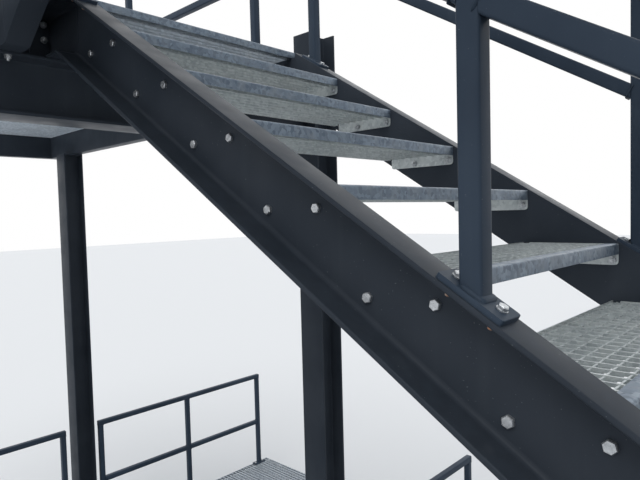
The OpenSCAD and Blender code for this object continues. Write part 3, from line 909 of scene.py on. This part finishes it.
def grating(name, x_range, y_range, level, holes=(), nosing_x=None):
    """Welded bar grating in panels: bearing bars across, rods along X, a flat band round each panel.

    Each hole is (low x, high x, low y, high y) and has a band round it too. Bars end at the inside
    of the bands, and rods inside them.
    """
    sketch = Sketch()
    (x0, x1), (y0, y1) = x_range, y_range
    low = level - GRATING_T

    def strip(xs, ys, top=level, bottom=low):
        sketch.box((xs[0], ys[0], bottom), (xs[1], ys[1], top))

    sign = 1 if x1 > 0 else -1
    start, length = (x0 if x1 > 0 else x1), x1 - x0
    seams = [min(n * PANEL, length) for n in range(math.ceil(length / PANEL) + 1)]
    for near, far in zip(seams, seams[1:]):
        left, right = sorted((start + sign * near, start + sign * far))
        left, right = left + SEAM / 2, right - SEAM / 2
        bars = int((right - left) / MESH_BAR)
        for k in range(bars + 1):
            x = left + (right - left - BAR_T) * k / bars
            under_nosing = nosing_x is not None and abs(x + BAR_T / 2 - nosing_x) < NOSING_D
            top = level - BAR_UNDER_NOSING if under_nosing else level
            cuts = [(hole[2] - BAR_T, hole[3] + BAR_T) for hole in holes
                    if hole[0] - BAR_T < x + BAR_T and hole[1] + BAR_T > x]
            for ys in spans_clear(y0 + BAR_T, y1 - BAR_T, cuts):
                strip((x, x + BAR_T), ys, top)
        rods = int((y1 - y0) / MESH_ROD)
        for k in range(1, rods):
            y = y0 + (y1 - y0) * k / rods
            rod = (y - ROD_T / 2, y + ROD_T / 2)
            cuts = [(hole[0] - OVERLAP, hole[1] + OVERLAP) for hole in holes
                    if hole[2] < rod[1] and hole[3] > rod[0]]
            for xs in spans_clear(left + OVERLAP, right - OVERLAP, cuts):
                strip(xs, rod, level - ROD_SINK, level - ROD_SINK - ROD_H)
        for y in (y0, y1 - BAR_T):
            cuts = [(hole[0] - BAR_T, hole[1] + BAR_T) for hole in holes
                    if hole[2] < y + BAR_T and hole[3] > y]
            for xs in spans_clear(left, right, cuts):
                strip(xs, (y, y + BAR_T))
    for left, right, near, far in holes:
        for y in (near - BAR_T, far):
            if y0 < y < y1:
                strip((max(left - BAR_T, x0), min(right + BAR_T, x1)), (y, y + BAR_T))
        for x in (left - BAR_T, right):
            if x0 < x < x1:
                strip((x, x + BAR_T), (max(near, y0), min(far, y1)))
    if nosing_x is not None:
        nosing = nosing_outline(GRATING_T)
        sketch.loft([[(nosing_x + sign * p[0], y, level + p[1]) for p in nosing] for y in (y0, y1)], 1)
    sketch.piece(name + "_bars", [GRATING_ZINC, NOSING_ZINC_PAINTED_SHADE], "zinc_grating", name)


# Steel frame

def landing_frame(name, level, x_end, sign):
    """Edge channels with mitred corners and flanges turned out, a cross channel and a middle beam."""
    sketch = Sketch()
    low = level - BEAM_LOW
    x0 = INNER_X - COL_B / 2
    inside_x, inside_y = x_end - CHANNEL_B, SIDE_Y - CHANNEL_B
    edge = channel_outline(BEAM_LOW)
    rings = []
    for side, corner in ((-1, False), (-1, True), (1, True), (1, False)):
        rings.append([(sign * (inside_x + p[0] if corner else x0), side * (inside_y + p[0]), low + p[1])
                      for p in edge])
    sketch.loft(rings)
    x = HALF_RUN + STUB_L + JOIST_GAP + CHANNEL_B
    near, far = (sign * x, -inside_y, low), (sign * x, inside_y, low)
    bar_between(sketch, channel_outline(CHANNEL_H), near, far, (-sign, 0, 0), (0, 0, 1))
    middle = low + CHANNEL_H / 2
    beam = h_outline(CHANNEL_B, CHANNEL_H, CHANNEL_FLANGE, CHANNEL_WEB)
    bar_between(sketch, beam, (sign * x, 0, middle), (sign * inside_x, 0, middle), (0, 1, 0), (0, 0, 1))
    sketch.piece(name + "_channels", [PAINT], "charcoal_paint", name)


def column(sketch, bolts, x, y, height, cap):
    """H-section on a base plate with four anchors, and with a cap plate on top if cap is true."""
    outline = h_outline(COL_B, COL_B, COL_FLANGE, COL_WEB)
    section_top = height - CAP_T if cap else height
    bar_between(sketch, outline, (x, y, PLATE_T), (x, y, section_top), (1, 0, 0), (0, 1, 0))
    plate = square_outline(PLATE, PLATE_ROUND)
    bar_between(sketch, plate, (x, y, 0), (x, y, PLATE_T), (1, 0, 0), (0, 1, 0))
    for i in (-1, 1):
        for j in (-1, 1):
            spot = (x + i * ANCHOR_PITCH / 2, y + j * ANCHOR_PITCH / 2, PLATE_T)
            nut_and_tip(bolts, spot, (0, 0, 1), ANCHOR, 0, ANCHOR_REACH)
    if cap:
        half = COL_B / 2
        sketch.box((x - half, y - half, height - CAP_T), (x + half, y + half, height))


def columns(name, places, height, cap=False):
    """One node's columns, with their anchors."""
    sketch, bolts = Sketch(), Sketch()
    for x, y in places:
        column(sketch, bolts, x, y, height, cap)
    sketch.piece(name + "_section", [PAINT], "charcoal_paint", name)
    bolts.piece(name + "_anchors", [BOLT], "charcoal_paint")


def cross_beam(name, x, top):
    """I-section beam with end plates bolted to the inner columns."""
    sketch, bolts = Sketch(), Sketch()
    outline = h_outline(COL_B, CROSS_H, CROSS_FLANGE, COL_WEB)
    middle = top - CROSS_H / 2
    bar_between(sketch, outline, (x, -SIDE_Y, middle), (x, SIDE_Y, middle), (1, 0, 0), (0, 0, 1))
    for side in (-1, 1):
        low, high = sorted((side * SIDE_Y, side * (SIDE_Y + COL_GAP)))
        sketch.box((x - COL_B / 2, low, top - CROSS_H), (x + COL_B / 2, high, top))
        for dx in (-CROSS_BOLT_X, CROSS_BOLT_X):
            for dz in (-CROSS_BOLT_Z, CROSS_BOLT_Z):
                nut_and_tip(bolts, (x + dx, side * SIDE_Y, middle + dz), (0, -side, 0), CROSS_BOLT)
    sketch.piece(name + "_section", [PAINT], "charcoal_paint", name)
    bolts.piece(name + "_bolts", [BOLT, THREAD], "charcoal_paint")


def build_flights():
    for number in (1, 2, 3):
        flight = Flight(number)
        for side in SIDES:
            stringer(flight, side)
            stair_rail(flight, side)
        treads(flight)
        tread_bolts(flight)
        stub_fixings(flight)


def build_landings():
    notch = COL_B / 2 + NOTCH_GAP
    places = [(-OUTER_X, -OUTER_Y), (-OUTER_X, OUTER_Y), (-INNER_X, INNER_Y)]
    holes = [(x - notch, x + notch, y - notch, y + notch) for x, y in places]
    grating("base_grating", (BASE_LEFT, -HALF_RUN), (-SIDE_Y, BASE_FAR_Y), LEVELS[0], holes)
    across = (CHANNEL_B - SIDE_Y, SIDE_Y - CHANNEL_B)
    short, long = SHORT_END - CHANNEL_B, LONG_END - CHANNEL_B
    grating("lower_landing_grating", (HALF_RUN, short), across, LEVELS[1], (), HALF_RUN)
    grating("middle_landing_grating", (-long, -HALF_RUN), across, LEVELS[2], (), -HALF_RUN)
    grating("upper_landing_grating", (HALF_RUN, long), across, LEVELS[3], (), HALF_RUN)
    landing_frame("lower_landing_frame", LEVELS[1], SHORT_END, 1)
    landing_frame("middle_landing_frame", LEVELS[2], LONG_END, -1)
    landing_frame("upper_landing_frame", LEVELS[3], LONG_END, 1)


def build_columns():
    for name, x, y, level in (
        ("left_near", -1, -1, 2), ("left_far", -1, 1, 2), ("right_near", 1, -1, 3), ("right_far", 1, 1, 3),
    ):
        place = (x * INNER_X, y * INNER_Y)
        columns("inner_column_" + name, [place], LEVELS[level] + COL_OVER)
    for name, sign, level in (("left", -1, 2), ("right", 1, 3)):
        places = [(sign * OUTER_X, side * OUTER_Y) for side in (-1, 1)]
        columns("outer_columns_" + name, places, LEVELS[level] - BEAM_LOW, True)
    cross_beam("cross_beam_left", -INNER_X, LEVELS[2] - BEAM_LOW)
    cross_beam("cross_beam_right_lower", INNER_X, LEVELS[1] - BEAM_LOW)
    cross_beam("cross_beam_right_upper", INNER_X, LEVELS[3] - BEAM_LOW)


def build_base_guards():
    left, near, right = BASE_LEFT + POST_INSET, NEAR_POST - SIDE_Y, INNER_Y + RIGHT_POST
    for name, line, posts in (
        ("left_near", left, [near, near + NEAR_PITCH, near + 2 * NEAR_PITCH]),
        ("left_far", left, [BASE_FAR_Y - place for place in FAR_POSTS]),
        ("right_far", -HALF_RUN - POST_INSET, [right, right + RIGHT_PITCH]),
    ):
        guard("base_guard_" + name, posts, line, LEVELS[0], False, mid_h=BASE_MID_H, under=GRATING_T)


def build_landing_guards():
    last = LONG_END - CORNER_GAP
    long_posts = [last - 2 * LONG_PITCH, last - LONG_PITCH, last]
    first, last = INNER_X + SHORT_FIRST, SHORT_END - CORNER_GAP
    short_posts = [first, (first + last) / 2, last]
    end_half = SIDE_Y - END_GAP
    end_posts = [-end_half, 0, end_half]
    for name, posts, level, mirror, end in (
        ("lower", short_posts, LEVELS[1], False, SHORT_END),
        ("middle", long_posts, LEVELS[2], True, -LONG_END),
        ("upper", long_posts, LEVELS[3], False, LONG_END),
    ):
        guard(name + "_guard_near", posts, -GUARD_LINE, level, True, mirror)
        guard(name + "_guard_far", posts, GUARD_LINE, level, True, mirror)
        inset = POST_INSET if end < 0 else -POST_INSET
        guard(name + "_guard_end", end_posts, end + inset, level, False)


def finish_cad_nodes():
    """Paint for every CAD node; it shows on the base frame, which no piece replaces."""
    for node in frame["nodes"].values():
        node.data.materials.clear()
        node.data.materials.append(PAINT)


# Stage

FLOOR_HALF = 60
FLOOR_DROP = 0.001
FLOOR_COLOUR = (0.74, 0.75, 0.76)
FLOOR_ROUGH = 0.9


def floor():
    mesh = bpy.data.meshes.new("floor")
    corners = [(x * FLOOR_HALF, y * FLOOR_HALF, 0) for x, y in ((-1, -1), (1, -1), (1, 1), (-1, 1))]
    mesh.from_pydata(corners, [], [(0, 1, 2, 3)])
    thing = bpy.data.objects.new("floor", mesh)
    bpy.context.scene.collection.objects.link(thing)
    thing.location.z = -FLOOR_DROP
    material, _, _, shader = new_material("floor")
    shader.inputs["Base Color"].default_value = rgba(FLOOR_COLOUR)
    shader.inputs["Roughness"].default_value = FLOOR_ROUGH
    mesh.materials.append(material)


SOFT_LIGHT = (0.93, 0.96, 1.0)
SOFT_STRENGTH = 0.55


def world():
    """White where the camera, metal and glass see it, a soft pale light for everything else."""
    scene_world = bpy.data.worlds.new("studio")
    bpy.context.scene.world = scene_world
    scene_world.use_nodes = True
    nodes, links = scene_world.node_tree.nodes, scene_world.node_tree.links
    shown = nodes["Background"]
    shown.inputs["Color"].default_value = rgba(grey(1))
    shown.inputs["Strength"].default_value = 1.0
    soft = nodes.new("ShaderNodeBackground")
    soft.inputs["Color"].default_value = rgba(SOFT_LIGHT)
    soft.inputs["Strength"].default_value = SOFT_STRENGTH
    path = nodes.new("ShaderNodeLightPath")
    either = path.outputs["Is Camera Ray"]
    for name in ("Is Glossy Ray", "Is Transmission Ray"):
        most = nodes.new("ShaderNodeMath")
        most.operation = "MAXIMUM"
        links.new(either, most.inputs[0])
        links.new(path.outputs[name], most.inputs[1])
        either = most.outputs[0]
    choice = nodes.new("ShaderNodeMixShader")
    links.new(either, choice.inputs["Fac"])
    links.new(soft.outputs["Background"], choice.inputs[1])
    links.new(shown.outputs["Background"], choice.inputs[2])
    links.new(choice.outputs["Shader"], nodes["World Output"].inputs["Surface"])


def lamp(name, place, strength, spread, colour):
    """Soft light from far away, along the line from place to the tower; spread is its width in degrees."""
    data = bpy.data.lights.new(name, "SUN")
    data.energy = strength
    data.angle = math.radians(spread)
    data.color = colour
    thing = bpy.data.objects.new(name, data)
    thing.location = place
    thing.rotation_mode = "QUATERNION"
    thing.rotation_quaternion = (-Vector(place)).to_track_quat("-Z", "Y")
    bpy.context.scene.collection.objects.link(thing)


def lights():
    lamp("key", (4.0, -7.0, 9.0), strength=1.6, spread=45, colour=(1.0, 1.0, 1.0))
    lamp("fill", (-8.0, -5.0, 4.0), strength=0.5, spread=90, colour=(0.93, 0.96, 1.0))
    lamp("rim", (-3.0, 9.0, 8.0), strength=0.5, spread=60, colour=(0.96, 0.98, 1.0))


# Camera: its place in the row frame, its angles in degrees, and its lens for the photograph's width
CAMERA_PLACE = (0.5001, -0.7299 + SHIFT_Y, 2.9130)
CAMERA_YAW = 43.319
CAMERA_PITCH = 2.684
CAMERA_ROLL = -1.471
FOCAL_PIXELS = 557.59
PHOTO_WIDTH = 640
SENSOR_WIDTH = 36
CLIP_START = 0.02
CLIP_END = 200


def camera():
    """The photograph's camera: yaw from +Y towards -X, pitch below the horizon, then roll."""
    yaw, pitch, roll = (math.radians(a) for a in (CAMERA_YAW, CAMERA_PITCH, CAMERA_ROLL))
    look = Vector((-math.sin(yaw) * math.cos(pitch), math.cos(yaw) * math.cos(pitch), -math.sin(pitch)))
    level_right = Vector((math.cos(yaw), math.sin(yaw), 0))
    level_up = level_right.cross(look)
    right = math.cos(roll) * level_right + math.sin(roll) * level_up
    up = -math.sin(roll) * level_right + math.cos(roll) * level_up
    data = bpy.data.cameras.new("camera")
    data.sensor_width = SENSOR_WIDTH
    data.lens = FOCAL_PIXELS * data.sensor_width / PHOTO_WIDTH
    data.clip_start = CLIP_START
    data.clip_end = CLIP_END
    thing = bpy.data.objects.new("camera", data)
    turn = Matrix((right, up, -look)).transposed().to_4x4()
    thing.matrix_world = Matrix.Translation(CAMERA_PLACE) @ turn
    bpy.context.scene.collection.objects.link(thing)
    bpy.context.scene.camera = thing


camera()
finish_cad_nodes()
build_flights()
build_landings()
build_columns()
build_base_guards()
build_landing_guards()
floor()
world()
lights()
bpy.context.scene.view_settings.view_transform = "Standard"
